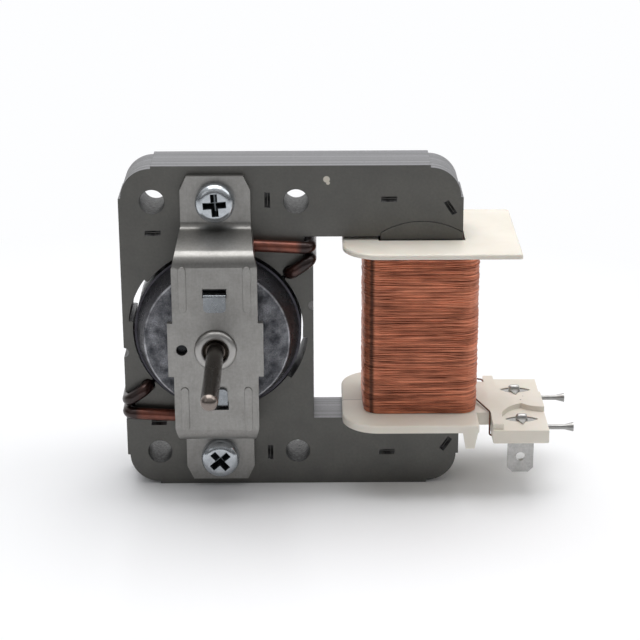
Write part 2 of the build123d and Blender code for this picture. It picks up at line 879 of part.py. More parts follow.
pieces = {
    "stator_core": stator_core(),
    "coil_leg": coil_leg(),
    "upper_large_shading_ring": shading_ring(large_ring_angle, large_ring_outer_z, False),
    "upper_small_shading_ring": shading_ring(small_ring_angle, small_ring_outer_z, False),
    "lower_large_shading_ring": shading_ring(large_ring_angle, large_ring_outer_z, True),
    "lower_small_shading_ring": shading_ring(small_ring_angle, small_ring_outer_z, True),
    "rotor_core": rotor_core(),
    "rotor_cage": rotor_cage(),
    "shaft": shaft(),
    "front_bracket": front_bracket(),
    "rear_bracket": rear_bracket(),
    "bracket_screws": bracket_screws(),
    "bobbin": bobbin(),
    "coil_core": coil_core(),
    "coil_winding": coil_winding(),
    "front_lead": front_lead(),
    "rear_lead": rear_lead(),
}
for side, face in (("front", front_axis), ("rear", rear_axis)):
    pieces[f"{side}_rotor_spacer"] = rotor_spacer(face)
    pieces[f"{side}_thrust_washer"] = thrust_washer(face)
    pieces[f"{side}_bearing"] = bearing(face)
    pieces[f"{side}_oil_felt"] = oil_felt(face)
    pieces[f"{side}_bearing_retainer"] = bearing_retainer(face)
for side, place in zip(("front", "rear"), terminal_places()):
    pieces[f"{side}_terminal"] = terminal(place)

for name, piece in pieces.items():
    export_step(piece, f"parts/{name}.step")
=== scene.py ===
# %% [markdown]
# # Dressing a shaded-pole motor
# The solids of this motor come from a CAD model that already has the right size
# and place for every piece. This lesson adds what a photograph shows and a CAD
# model lacks: the edges of the sheets, the fine wire of the coil, soft edges on
# moulded and pressed pieces, and surfaces that look like steel, tin, copper and
# plastic. Everything is in metres, in the same axes as the CAD model.

# %% Load the frame
import json
import math
import random

import bpy
from mathutils import Matrix, Vector

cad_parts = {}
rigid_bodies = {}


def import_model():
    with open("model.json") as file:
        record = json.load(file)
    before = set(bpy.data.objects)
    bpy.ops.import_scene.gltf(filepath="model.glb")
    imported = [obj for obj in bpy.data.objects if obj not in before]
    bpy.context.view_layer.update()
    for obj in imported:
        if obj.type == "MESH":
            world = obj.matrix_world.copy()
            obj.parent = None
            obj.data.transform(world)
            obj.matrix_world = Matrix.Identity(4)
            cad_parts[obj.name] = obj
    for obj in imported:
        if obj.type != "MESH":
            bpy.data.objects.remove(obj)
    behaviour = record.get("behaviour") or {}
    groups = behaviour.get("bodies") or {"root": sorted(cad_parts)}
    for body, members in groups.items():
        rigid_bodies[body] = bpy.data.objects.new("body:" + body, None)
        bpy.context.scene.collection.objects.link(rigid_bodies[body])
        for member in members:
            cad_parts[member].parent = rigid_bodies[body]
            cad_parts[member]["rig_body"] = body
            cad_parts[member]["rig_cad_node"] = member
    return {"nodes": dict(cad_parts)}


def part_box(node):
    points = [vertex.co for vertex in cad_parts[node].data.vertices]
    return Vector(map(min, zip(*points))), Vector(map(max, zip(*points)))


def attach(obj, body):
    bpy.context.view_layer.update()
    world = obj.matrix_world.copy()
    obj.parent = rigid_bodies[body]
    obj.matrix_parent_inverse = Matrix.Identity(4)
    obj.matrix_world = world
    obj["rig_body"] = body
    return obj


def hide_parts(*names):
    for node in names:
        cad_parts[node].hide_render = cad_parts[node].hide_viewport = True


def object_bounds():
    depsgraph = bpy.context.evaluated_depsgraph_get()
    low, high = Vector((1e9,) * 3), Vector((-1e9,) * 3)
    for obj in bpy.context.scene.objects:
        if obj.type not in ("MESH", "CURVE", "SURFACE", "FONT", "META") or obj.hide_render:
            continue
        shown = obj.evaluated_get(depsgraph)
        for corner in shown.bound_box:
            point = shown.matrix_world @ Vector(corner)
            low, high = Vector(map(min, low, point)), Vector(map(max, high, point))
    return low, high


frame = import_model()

nodes = frame["nodes"]
cad_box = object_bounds()
MM = 0.001
print("nodes:", len(nodes), "CAD box:", cad_box)

# %% [markdown]
# ## Helpers for modelling
# An operator works on everything that is selected, so each step first clears the
# selection. A piece that refines a CAD node starts as a copy of the node: the
# copy is merged, because CAD meshes are loose triangles, its flat faces are
# joined, and its edges get a small bevel, as no real edge is perfectly sharp.

# %% Selection and copies
def only(piece):
    """Selects one object and makes it active."""
    bpy.ops.object.select_all(action="DESELECT")
    piece.select_set(True)
    bpy.context.view_layer.objects.active = piece


def apply_modifier(piece, kind, **settings):
    """Adds a modifier with these settings and applies it."""
    only(piece)
    modifier = piece.modifiers.new(kind.title(), kind)
    for name, value in settings.items():
        setattr(modifier, name, value)
    bpy.ops.object.modifier_apply(modifier=modifier.name)


def merged_copy(node, name):
    """A free copy of a CAD node with its triangles merged and its flat faces joined."""
    only(nodes[node])
    bpy.ops.object.duplicate()
    piece = bpy.context.active_object
    piece.name = piece.data.name = name
    piece.parent = None
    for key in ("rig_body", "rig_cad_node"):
        del piece[key]
    only(piece)
    if piece.data.has_custom_normals:
        bpy.ops.mesh.customdata_custom_splitnormals_clear()
    bpy.ops.object.mode_set(mode="EDIT")
    bpy.ops.mesh.select_all(action="SELECT")
    bpy.ops.mesh.remove_doubles(threshold=0.001 * MM)
    bpy.ops.mesh.dissolve_limited(angle_limit=math.radians(0.4))
    bpy.ops.object.mode_set(mode="OBJECT")
    return piece


def shade(piece, angle=38):
    """Shades a piece smooth and leaves edges sharp where they turn by more than the angle."""
    only(piece)
    bpy.ops.object.shade_smooth_by_angle(angle=math.radians(angle))


def soften(piece, width, angle=25, segments=2):
    """Rounds the edges of a piece that turn by more than the angle."""
    apply_modifier(
        piece, "BEVEL", width=width, segments=segments, limit_method="ANGLE",
        angle_limit=math.radians(angle), harden_normals=False,
    )
    shade(piece)
    apply_modifier(piece, "WEIGHTED_NORMAL", keep_sharp=True)


def choose(piece, kind, wanted):
    """Enters edit mode with the wanted vertices, edges or faces selected."""
    only(piece)
    bpy.ops.object.mode_set(mode="EDIT")
    bpy.ops.mesh.select_mode(type=kind)
    bpy.ops.mesh.select_all(action="DESELECT")
    bpy.ops.object.mode_set(mode="OBJECT")
    mesh = piece.data
    elements = {"VERT": mesh.vertices, "EDGE": mesh.edges, "FACE": mesh.polygons}[kind]
    elements.foreach_set("select", wanted)
    bpy.ops.object.mode_set(mode="EDIT")


def dress(piece, material, body, slot, *replaced):
    """Gives a new piece its material and body, and hides the nodes that it stands for; the slot is not
    used.
    """
    piece.data.materials.clear()
    piece.data.materials.append(material)
    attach(piece, body)
    if replaced:
        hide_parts(*replaced)
    print(piece.name, "polygons:", len(piece.data.polygons))


# %% [markdown]
# ## Helpers for materials
# A material is a small network of nodes. One function adds a node and fills its
# inputs, where a socket is linked and anything else is a plain value. A shared
# effect is a node group: it is built once and placed in each material.

# %% Nodes and groups
FLOAT, VECTOR = "NodeSocketFloat", "NodeSocketVector"


def put(tree, kind, inputs=None, **settings):
    """Adds a node. A socket among its inputs is linked, anything else is set."""
    node = tree.nodes.new(kind)
    for name, value in settings.items():
        setattr(node, name, value)
    for key, value in (inputs or {}).items():
        if isinstance(value, bpy.types.NodeSocket):
            tree.links.new(value, node.inputs[key])
        else:
            node.inputs[key].default_value = value
    return node


def math_node(tree, operation, *values):
    """The result of one sum on sockets or plain numbers."""
    return put(tree, "ShaderNodeMath", dict(enumerate(values)), operation=operation).outputs[0]


def split(tree, vector):
    """The X, Y and Z of a vector."""
    return put(tree, "ShaderNodeSeparateXYZ", {0: vector}).outputs


def join(tree, **axes):
    """A vector made of the axes that are given, with 0 for the others."""
    return put(tree, "ShaderNodeCombineXYZ", axes).outputs[0]


def fade(tree, value, start, end):
    """A mask that runs from 0 to 1 as a value runs from start to end."""
    limits = {"Value": value, "From Min": start, "From Max": end}
    return put(tree, "ShaderNodeMapRange", limits).outputs[0]


def contrasted(tree, value, contrast):
    """A noise value that is spread from its middle towards 0 and 1."""
    centred = math_node(tree, "SUBTRACT", value, 0.5)
    lifted = math_node(tree, "MULTIPLY_ADD", centred, contrast, 0.5)
    return put(tree, "ShaderNodeClamp", {"Value": lifted}).outputs[0]


def new_group(name, inputs, outputs):
    """A shader node group with these sockets. Inputs are (label, type, default)."""
    tree = bpy.data.node_groups.new(name, "ShaderNodeTree")
    for label, kind, default in inputs:
        socket = tree.interface.new_socket(label, in_out="INPUT", socket_type=kind)
        if default is not None:
            socket.default_value = default
    for label, kind in outputs:
        tree.interface.new_socket(label, in_out="OUTPUT", socket_type=kind)
    return tree, put(tree, "NodeGroupInput").outputs, put(tree, "NodeGroupOutput").inputs


# %% [markdown]
# ### Blotches
# Noise with a feature size in millimetres. It stands for stains, handling marks,
# cast skin and uneven plating. The contrast input spreads it towards 0 and 1.

# %% Blotches group
PER_METRE = 1000.0
blotches, g_in, g_out = new_group(
    "blotches",
    [("Vector", VECTOR, None), ("Size", FLOAT, 3.0), ("Detail", FLOAT, 3.0), ("Contrast", FLOAT, 1.5)],
    [("Mask", FLOAT)],
)
scale = math_node(blotches, "DIVIDE", PER_METRE, g_in["Size"])
noise = put(
    blotches, "ShaderNodeTexNoise",
    {"Vector": g_in["Vector"], "Scale": scale, "Detail": g_in["Detail"], "Roughness": 0.55},
)
blotches.links.new(contrasted(blotches, noise.outputs["Fac"], g_in["Contrast"]), g_out["Mask"])
print("group:", blotches.name)

# %% [markdown]
# ### Grain
# The same noise, but drawn out along one direction by a very uneven scale. It is
# the rolling grain of sheet steel, the grinding lines of a shaft and the draw
# lines of wire.

# %% Grain group
grain, g_in, g_out = new_group(
    "grain",
    [("Vector", VECTOR, None), ("Stretch", VECTOR, (1.0, 1.0, 1.0)),
     ("Size", FLOAT, 0.3), ("Contrast", FLOAT, 1.5)],
    [("Mask", FLOAT)],
)
scale = math_node(grain, "DIVIDE", PER_METRE, g_in["Size"])
drawn = put(
    grain, "ShaderNodeVectorMath", {0: g_in["Vector"], 1: g_in["Stretch"]}, operation="MULTIPLY",
)
noise = put(
    grain, "ShaderNodeTexNoise",
    {"Vector": drawn.outputs[0], "Scale": scale, "Detail": 4.0, "Roughness": 0.6},
)
grain.links.new(contrasted(grain, noise.outputs["Fac"], g_in["Contrast"]), g_out["Mask"])
print("group:", grain.name)

# %% [markdown]
# ### Sheet edges
# On the stack's walls, thin dark lines mark where one sheet meets the next. The
# wall output is 1 on a wall and 0 on the front and back faces, read from the
# direction of the surface. The joint output is 1 between two sheets, and the
# sheet output gives each sheet a tone of its own.

# %% Sheet edges group
SHEET = 0.5
sheet_edges, g_in, g_out = new_group(
    "sheet_edges",
    [("Vector", VECTOR, None), ("Normal", VECTOR, None), ("Pitch", FLOAT, SHEET)],
    [("Wall", FLOAT), ("Joint", FLOAT), ("Sheet", FLOAT)],
)
facing = math_node(sheet_edges, "ABSOLUTE", split(sheet_edges, g_in["Normal"])["Y"])
depth = math_node(sheet_edges, "MULTIPLY", split(sheet_edges, g_in["Vector"])["Y"], PER_METRE)
count = math_node(sheet_edges, "DIVIDE", depth, g_in["Pitch"])
share = math_node(sheet_edges, "FRACT", count)
off_centre = math_node(sheet_edges, "ABSOLUTE", math_node(sheet_edges, "SUBTRACT", share, 0.5))
number = math_node(sheet_edges, "FLOOR", count)
tone = put(sheet_edges, "ShaderNodeTexWhiteNoise", {"W": number}, noise_dimensions="1D")
sheet_edges.links.new(fade(sheet_edges, facing, 0.85, 0.6), g_out["Wall"])
sheet_edges.links.new(fade(sheet_edges, off_centre, 0.36, 0.5), g_out["Joint"])
sheet_edges.links.new(tone.outputs["Value"], g_out["Sheet"])
print("group:", sheet_edges.name)

# %% [markdown]
# ### Masks and blends
# A material is mixed from a few masks: noise from the groups, and places on the
# motor that come from the CAD model. Lengths are in millimetres. A mask is then
# turned into a colour, a tint or a number for one of the shader's inputs.

# %% Shader inputs
def socket_label(name):
    """The label on the shader of a socket that is named in Python's way."""
    return name.replace("_", " ").title()


def new_material(name, **sockets):
    """A material whose shader has these plain values, its tree, shader and coordinates."""
    material = bpy.data.materials.new(name)
    material.use_nodes = True
    tree = material.node_tree
    shader = tree.nodes["Principled BSDF"]
    for label, value in sockets.items():
        shader.inputs[socket_label(label)].default_value = value
    return material, tree, shader, put(tree, "ShaderNodeTexCoord").outputs


def feed(tree, shader, **sockets):
    """Links colours and numbers to the shader's inputs."""
    for label, socket in sockets.items():
        tree.links.new(socket, shader.inputs[socket_label(label)])


def raise_bumps(tree, shader, height, depth):
    """Turns a mask into bumps of a depth."""
    bump = put(tree, "ShaderNodeBump", {"Height": height, "Distance": depth * MM, "Strength": 1.0})
    feed(tree, shader, normal=bump.outputs[0])


# %% Noise and place masks
def placed(tree, group, **inputs):
    """Places a shared group and returns its outputs."""
    labels = {label.title(): value for label, value in inputs.items()}
    return put(tree, "ShaderNodeGroup", labels, node_tree=group).outputs


def clouds(tree, coords, size, detail, contrast):
    """Blotches of a size on a piece."""
    place = coords["Object"]
    return placed(tree, blotches, vector=place, size=size, detail=detail, contrast=contrast)["Mask"]


def streaks(tree, coords, stretch, size, contrast):
    """Grain on a piece, drawn out along the axes whose stretch is small."""
    place = coords["Object"]
    return placed(tree, grain, vector=place, stretch=stretch, size=size, contrast=contrast)["Mask"]


def ramp(tree, value, start, end):
    """A mask that runs from 0 to 1 as a length runs from start to end."""
    return fade(tree, value, start * MM, end * MM)


def near(tree, place, centre, radius, edge):
    """A mask that is 1 within a radius of a point and fades over an edge."""
    inputs = {0: place, 1: Vector(centre) * MM}
    far = put(tree, "ShaderNodeVectorMath", inputs, operation="DISTANCE").outputs["Value"]
    return ramp(tree, far, radius + edge, radius)


def near_any(tree, place, centres, radius, edge):
    """A mask that is 1 within a radius of any of the points."""
    mask = 0.0
    for centre in centres:
        mask = math_node(tree, "MAXIMUM", mask, near(tree, place, centre, radius, edge))
    return mask


# %% Numbers and colours from a mask
def span(tree, mask, low, high):
    """A number that runs from low to high as the mask runs from 0 to 1."""
    limits = {"Value": mask, "To Min": low, "To Max": high}
    return put(tree, "ShaderNodeMapRange", limits).outputs[0]


def rgb(red, green, blue):
    """A colour with full opacity."""
    return (red, green, blue, 1.0)


def blend_colour(tree, mask, first, second):
    """A colour that runs from the first to the second as the mask runs from 0 to 1."""
    node = put(tree, "ShaderNodeMix", {0: mask, 6: first, 7: second}, data_type="RGBA")
    return node.outputs[2]


def tinted(tree, colour, mask, amount, tint):
    """A colour that turns towards a tint by an amount where the mask is 1."""
    return blend_colour(tree, span(tree, mask, 0.0, amount), colour, tint)


# %% [markdown]
# ## Steel of the stack
# Electrical steel leaves the mill with a thin dark coat, so the faces are a dull
# olive grey with faint blotches. The walls are cut metal: lighter, with the sheet
# joints as fine lines, and painted shade makes them darker in the holes. The
# slanting walls of the dents that lock the sheets together are darkened with
# painted shade, most of it in the middle, and a drop of cream paint marks an
# inspected stack.

# %% Faces and walls of the stack
core_steel, tree, shader, coords = new_material("core_steel")
edges = placed(tree, sheet_edges, vector=coords["Object"], normal=coords["Normal"])
stain = clouds(tree, coords, 7.0, 5.0, 1.6)
speck = clouds(tree, coords, 0.5, 2.0, 2.0)
cut = streaks(tree, coords, (1.0, 6.0, 1.0), 0.5, 2.2)
face = blend_colour(tree, stain, rgb(0.102, 0.101, 0.095), rgb(0.158, 0.155, 0.143))
face = tinted(tree, face, speck, 0.3, rgb(0.08, 0.08, 0.08))
bare = blend_colour(tree, cut, rgb(0.20, 0.20, 0.21), rgb(0.36, 0.36, 0.375))
bare = tinted(tree, bare, edges["Sheet"], 0.65, rgb(0.13, 0.13, 0.135))
bare = tinted(tree, bare, edges["Joint"], 0.8, rgb(0.07, 0.07, 0.07))
whole = blend_colour(tree, edges["Wall"], face, bare)
print("faces and walls:", core_steel.name)

# %% [markdown]
# Holes and dents are the same above and below the middle, so folding the place at
# the middle lets one point stand for two of them, or for four in both directions.

# %% Dents, holes and paint on the stack
DENT_WALL_TILT = 0.707
DENTS = ((-12.72, 0.0, 18.21), (7.65, 0.0, 24.25), (29.12, 0.0, 24.31), (39.98, 0.0, 22.69))
HOLE = (12.7, 0.0, 24.0)
INDEX_NOTCHES = ((15.7, 0.0, 4.45), (-18.7, 0.0, -4.45))
axes = split(tree, coords["Object"])
folded = {axis: math_node(tree, "ABSOLUTE", axes[axis]) for axis in "XZ"}
flat = join(tree, X=axes["X"], Z=axes["Z"])
half = join(tree, X=axes["X"], Z=folded["Z"])
quarter = join(tree, **folded)

tilt = math_node(tree, "ABSOLUTE", split(tree, coords["Normal"])["Y"])
off_slant = math_node(tree, "ABSOLUTE", math_node(tree, "SUBTRACT", tilt, DENT_WALL_TILT))
# Painted shade: the slanting walls of the dents turn near black, most of all in their middle.
deep = near_any(tree, half, DENTS, 0.4, 0.8)
dent_shade = math_node(tree, "MULTIPLY", span(tree, deep, 0.62, 1.0), span(tree, speck, 0.7, 1.0))
dent_shade = math_node(tree, "MULTIPLY", dent_shade, fade(tree, off_slant, 0.12, 0.04))
whole = blend_colour(tree, dent_shade, whole, rgb(0.01, 0.01, 0.01))

# Painted shade: the walls of the holes and index notches are darkened.
round_cuts = math_node(
    tree, "MAXIMUM",
    near(tree, quarter, HOLE, 2.3, 0.05), near_any(tree, flat, INDEX_NOTCHES, 1.0, 0.05),
)
painted_hole_shade = blend_colour(tree, speck, rgb(0.05, 0.05, 0.05), rgb(0.20, 0.20, 0.20))
hole_shade = math_node(tree, "MULTIPLY", round_cuts, edges["Wall"])
whole = blend_colour(tree, hole_shade, whole, painted_hole_shade)

paint = math_node(
    tree, "MAXIMUM",
    near(tree, coords["Object"], (18.1, 0.0, 28.0), 0.52, 0.12),
    near(tree, coords["Object"], (18.35, 0.0, 27.35), 0.28, 0.12),
)
feed(
    tree, shader,
    base_color=blend_colour(tree, paint, whole, rgb(0.62, 0.58, 0.50)),
    metallic=span(tree, paint, 0.75, 0.0),
    roughness=span(tree, stain, 0.42, 0.52),
)
raise_bumps(tree, shader, math_node(tree, "MULTIPLY_ADD", cut, edges["Wall"], speck), 0.01)
print("dents in the upper half:", len(DENTS), "index notches:", len(INDEX_NOTCHES))

# %% [markdown]
# ## Galvanised strip and zinc plate
# The brackets are pressed from galvanised strip: warm light grey with soft
# patches and faint rolling lines, with a painted highlight on the boss where it
# stands out. Screws and retainers have a thin bright zinc plate with a blue tint.
# A mask picks the part of a piece that differs from the rest: painted shade
# darkens a screw's cross recess, the parts of a retainer behind an opening and
# the posts.

# %% Places measured from the shaft
SHAFT_X = -1.5
STACK_MIDDLE_Y = 5.0
SCREW = (SHAFT_X, 0.0, 24.4)


def from_shaft(tree, place):
    """The distance to the left or right of the shaft."""
    offset = math_node(tree, "SUBTRACT", split(tree, place)["X"], SHAFT_X * MM)
    return math_node(tree, "ABSOLUTE", offset)


def from_middle(tree, place):
    """The distance from the middle of the stack along the shaft."""
    offset = math_node(tree, "SUBTRACT", split(tree, place)["Y"], STACK_MIDDLE_Y * MM)
    return math_node(tree, "ABSOLUTE", offset)


def inside(tree, place, low, high, edge):
    """A mask that is 1 in a box between two corners and fades over an edge."""
    mask = 1.0
    for value, least, most in zip(split(tree, place), low, high):
        mask = math_node(tree, "MULTIPLY", mask, ramp(tree, value, least - edge, least))
        mask = math_node(tree, "MULTIPLY", mask, ramp(tree, value, most + edge, most))
    return mask


print("shaft at X", SHAFT_X, "mm, middle of the stack at Y", STACK_MIDDLE_Y, "mm")


# %% Parts with painted shade or a painted highlight
def recess_shade(tree, place):
    """A mask for painted shade in the cross recesses: near a screw's axis and below the top of its
    head.
    """
    axes = split(tree, place)
    half = join(tree, X=axes["X"], Z=math_node(tree, "ABSOLUTE", axes["Z"]))
    below = ramp(tree, axes["Y"], -3.75, -3.3)
    return math_node(tree, "MULTIPLY", below, near(tree, half, SCREW, 2.05, 0.12))


def boss_highlight(tree, place):
    """A mask for a painted highlight on the boss of a bracket, which stands out from its plate."""
    return ramp(tree, from_middle(tree, place), 15.8, 16.4)


def shade_behind_openings(tree, place):
    """A mask for painted shade on what lies behind the vent and the slots of a bracket's plate."""
    upper = math_node(tree, "ABSOLUTE", split(tree, place)["Z"])
    quarter = join(tree, X=from_shaft(tree, place), Z=upper)
    vent = near(tree, quarter, (5.95, 0.0, 0.0), 1.05, 0.1)
    slot = inside(tree, quarter, (-1.0, -1.0, 9.6), (2.2, 1.0, 11.5), 0.1)
    behind = ramp(tree, from_middle(tree, place), 15.0, 14.8)
    return math_node(tree, "MULTIPLY", behind, math_node(tree, "MAXIMUM", vent, slot))


def post_shade(tree, place):
    """A mask for painted shade that dulls the side posts of the terminals."""
    return ramp(tree, split(tree, place)["X"], 58.0, 58.2)


# %% Bracket, screw, retainer and terminal finishes
def weighted(tree, *shares):
    """A sum of masks, each times its share."""
    total = 0.0
    for mask, share in shares:
        total = math_node(tree, "MULTIPLY_ADD", mask, share, total)
    return total


def plated(name, dark, light, rough, patch, lines, part=None, tint=(), amount=0.0):
    """A plated metal with soft patches and faint lines along Z, and a part tinted with painted shade
    or a painted highlight.
    """
    material, tree, shader, coords = new_material(name, metallic=0.9)
    cloud = clouds(tree, coords, patch, 4.0, 1.7)
    roll = streaks(tree, coords, (1.0, 1.0, 0.06), lines, 1.6)
    fine = clouds(tree, coords, 0.45, 2.0, 2.2)
    tone = weighted(tree, (roll, 0.3), (fine, 0.3), (cloud, 0.4))
    colour = blend_colour(tree, tone, rgb(*dark), rgb(*light))
    if part:
        colour = tinted(tree, colour, part(tree, coords["Object"]), amount, rgb(*tint))
    feed(tree, shader, base_color=colour, roughness=span(tree, cloud, rough + 0.07, rough - 0.05))
    raise_bumps(tree, shader, tone, 0.006)
    return material


galvanised = plated(
    "galvanised_strip", (0.215, 0.21, 0.20), (0.345, 0.338, 0.325), 0.34, 2.5, 0.25,
    boss_highlight, (0.56, 0.55, 0.535), 0.4,
)
zinc = plated(
    "zinc_screws", (0.36, 0.39, 0.42), (0.62, 0.65, 0.68), 0.2, 0.8, 0.1,
    recess_shade, (0.055, 0.066, 0.072), 0.85,
)
spring_zinc = plated(
    "retainer_zinc", (0.19, 0.205, 0.22), (0.33, 0.35, 0.37), 0.28, 1.0, 0.12,
    shade_behind_openings, (0.012, 0.012, 0.013), 0.95,
)
washer_steel = plated("washer_steel", (0.40, 0.40, 0.41), (0.58, 0.58, 0.59), 0.2, 1.5, 0.1)
tinned = plated(
    "tinned_brass", (0.30, 0.296, 0.288), (0.56, 0.556, 0.545), 0.32, 0.7, 0.12,
    post_shade, (0.17, 0.17, 0.165), 0.2,
)
print("plated:", galvanised.name, zinc.name, spring_zinc.name, washer_steel.name, tinned.name)

# %% [markdown]
# ## Rotor metals
# The cage is cast round the rotor stack in one shot of aluminium, so its end ring
# has a mottled skin with dark flow marks. The flank of the ring is dark and
# glossy, and a painted highlight runs along its rim. The rotor's rim and the
# shaft are ground, which leaves fine lines round the axis. The rotor steel is
# darkened further with painted shade of the gap round it, and the shaft's end has
# a painted highlight.

# %% Cast aluminium
END_RING_RADIUS = 12.85
cast, tree, shader, coords = new_material("cast_aluminium", metallic=0.85)
skin = clouds(tree, coords, 2.1, 9.0, 2.7)
pores = clouds(tree, coords, 0.25, 3.0, 3.2)
tone = math_node(tree, "MULTIPLY", skin, span(tree, pores, 0.45, 1.0))
colour = blend_colour(tree, tone, rgb(0.050, 0.052, 0.060), rgb(0.34, 0.345, 0.37))
across = join(tree, X=from_shaft(tree, coords["Object"]), Z=split(tree, coords["Object"])["Z"])
radius = put(tree, "ShaderNodeVectorMath", {0: across}, operation="LENGTH").outputs["Value"]
flank = ramp(tree, radius, END_RING_RADIUS + 0.05, END_RING_RADIUS + 0.25)
colour = tinted(tree, colour, flank, 0.7, rgb(0.070, 0.068, 0.078))
off_rim = math_node(tree, "ABSOLUTE", math_node(tree, "SUBTRACT", radius, END_RING_RADIUS * MM))
# Painted highlight: a bright line along the rim of the end ring.
rim_highlight = math_node(tree, "MULTIPLY", ramp(tree, off_rim, 0.2, 0.05), span(tree, skin, 0.0, 0.9))
skin_rough = span(tree, skin, 0.58, 0.42)
feed(
    tree, shader,
    base_color=blend_colour(tree, rim_highlight, colour, rgb(0.60, 0.60, 0.63)),
    roughness=math_node(tree, "SUBTRACT", skin_rough, span(tree, flank, 0.0, 0.2)),
)
raise_bumps(tree, shader, math_node(tree, "ADD", skin, pores), 0.03)
print("cast metal:", cast.name)


# %% Ground steel
def ground(name, dark, light, rough):
    """Steel with fine lines round the Y axis, and a painted highlight on a shaft's end."""
    material, tree, shader, coords = new_material(name, metallic=0.95)
    lines = streaks(tree, coords, (0.1, 1.0, 0.1), 0.2, 1.8)
    cloud = clouds(tree, coords, 2.0, 3.0, 1.6)
    tone = weighted(tree, (lines, 0.5), (cloud, 0.5))
    colour = blend_colour(tree, tone, rgb(*dark), rgb(*light))
    # Painted highlight: the shaft's rounded end is lightened.
    tip_highlight = ramp(tree, split(tree, coords["Object"])["Y"], -34.1, -34.7)
    feed(
        tree, shader,
        base_color=tinted(tree, colour, tip_highlight, 0.5, rgb(0.34, 0.29, 0.265)),
        roughness=span(tree, tone, rough + 0.06, rough - 0.04),
    )
    raise_bumps(tree, shader, lines, 0.003)
    return material


# Dark varnished steel, darkened further as painted shade of the narrow gap round the rotor.
rotor_steel = ground("rotor_steel", (0.022, 0.021, 0.026), (0.070, 0.068, 0.078), 0.3)
shaft_steel = ground("shaft_steel", (0.065, 0.057, 0.050), (0.155, 0.135, 0.120), 0.24)
print("ground metals:", rotor_steel.name, shaft_steel.name)

# %% [markdown]
# ## Copper
# The shading rings are copper under dark varnish, which is nearly black at the
# bends and worn to a red brown along the bars. The coil's wire has a clear enamel
# that leaves it orange, with painted shade where it bends at the left corners, and
# the two leads are a darker wire. A coat on the shader gives all of them their
# gloss.

# %% Ring and coil copper
SHADED_COIL_CORNER = (26.1, 7.6, 0.0)


def varnished(name, light):
    """Ring copper that is worn to a lighter brown along its bars and dark at its bends."""
    material, tree, shader, coords = new_material(
        name, metallic=0.7, coat_weight=0.5, coat_roughness=0.2,
    )
    worn = clouds(tree, coords, 2.2, 4.0, 2.2)
    bar = ramp(tree, from_shaft(tree, coords["Object"]), 15.3, 14.1)
    tone = math_node(tree, "MULTIPLY", span(tree, worn, 0.35, 1.0), span(tree, bar, 0.08, 1.0))
    feed(
        tree, shader,
        base_color=blend_colour(tree, tone, rgb(0.018, 0.009, 0.008), rgb(*light)),
        roughness=span(tree, worn, 0.46, 0.3),
    )
    raise_bumps(tree, shader, worn, 0.02)
    return material


def enamelled(name, dark, light, corner_shade=0.0):
    """Copper wire under enamel, with tones that follow the strands and painted shade at a left corner.
    """
    material, tree, shader, coords = new_material(
        name, metallic=0.62, coat_weight=0.12, coat_roughness=0.3,
    )
    strand = streaks(tree, coords, (0.05, 0.05, 1.0), 0.45, 3.2)
    patch = clouds(tree, coords, 4.0, 3.0, 1.8)
    tone = weighted(tree, (strand, 0.7), (patch, 0.3))
    colour = blend_colour(tree, tone, rgb(*dark), rgb(*light))
    half = join(tree, X=split(tree, coords["Object"])["X"], Y=from_middle(tree, coords["Object"]))
    # Painted shade: the wire near the left front corner turns dark.
    corner = near(tree, half, SHADED_COIL_CORNER, 0.2, 0.45)
    feed(
        tree, shader,
        base_color=tinted(tree, colour, corner, corner_shade, rgb(0.040, 0.011, 0.005)),
        roughness=span(tree, tone, 0.5, 0.38),
    )
    return material


bar_copper = varnished("bar_copper", (0.24, 0.064, 0.036))
bend_copper = varnished("bend_copper", (0.055, 0.019, 0.014))
coil_copper = enamelled("coil_copper", (0.15, 0.038, 0.018), (0.87, 0.32, 0.18), 0.85)
lead_copper = enamelled("lead_copper", (0.06, 0.020, 0.012), (0.22, 0.075, 0.040))
print("copper:", bar_copper.name, bend_copper.name, coil_copper.name, lead_copper.name)

# %% [markdown]
# ## Bobbin plastic and the small parts
# The bobbin is a cream nylon moulding with a faint flow in its colour and a fine
# texture. It has a few dark places: painted shade in two small pits in the
# terminal block and on the floors of the pockets under the staked heads, the line
# where its two flange halves meet, and painted shade on the rear of the lower
# flange. Bearings are sintered bronze, dark with oil and darkened further with
# painted shade, and the felts that feed them are wool.

# %% Plastic
def moulded(name, dark, light, rough, marks=()):
    """A pale moulding. Marks are dark places, a seam or painted shade: two corners, an edge and a
    strength each.
    """
    material, tree, shader, coords = new_material(
        name, subsurface_weight=0.08, subsurface_scale=0.6 * MM,
    )
    flow = clouds(tree, coords, 9.0, 3.0, 1.8)
    fine = clouds(tree, coords, 0.3, 2.0, 1.5)
    colour = blend_colour(tree, flow, rgb(*dark), rgb(*light))
    for low, high, edge, strength in marks:
        here = inside(tree, coords["Object"], low, high, edge)
        colour = tinted(tree, colour, here, strength, rgb(0.04, 0.03, 0.02))
    feed(tree, shader, base_color=colour, roughness=span(tree, fine, rough - 0.04, rough + 0.06))
    raise_bumps(tree, shader, fine, 0.006)
    return material


# Painted shade in the pits and on the pocket floors.
shaded_pits = (
    ((53.98, 4.66, -16.2), (54.16, 4.84, -15.8), 0.07, 1.0),
    ((54.61, 6.44, -16.2), (54.71, 6.54, -15.8), 0.06, 1.0),
)
shaded_pocket_floors = (
    ((50.5, -3.3, -17.85), (56.7, -0.7, -17.2), 0.1, 0.9),
    ((50.5, 10.7, -17.85), (56.7, 13.3, -17.2), 0.1, 0.9),
)
flange_seam = ((20.0, 3.86, -15.7), (26.0, 3.98, -15.3), 0.1, 0.45)
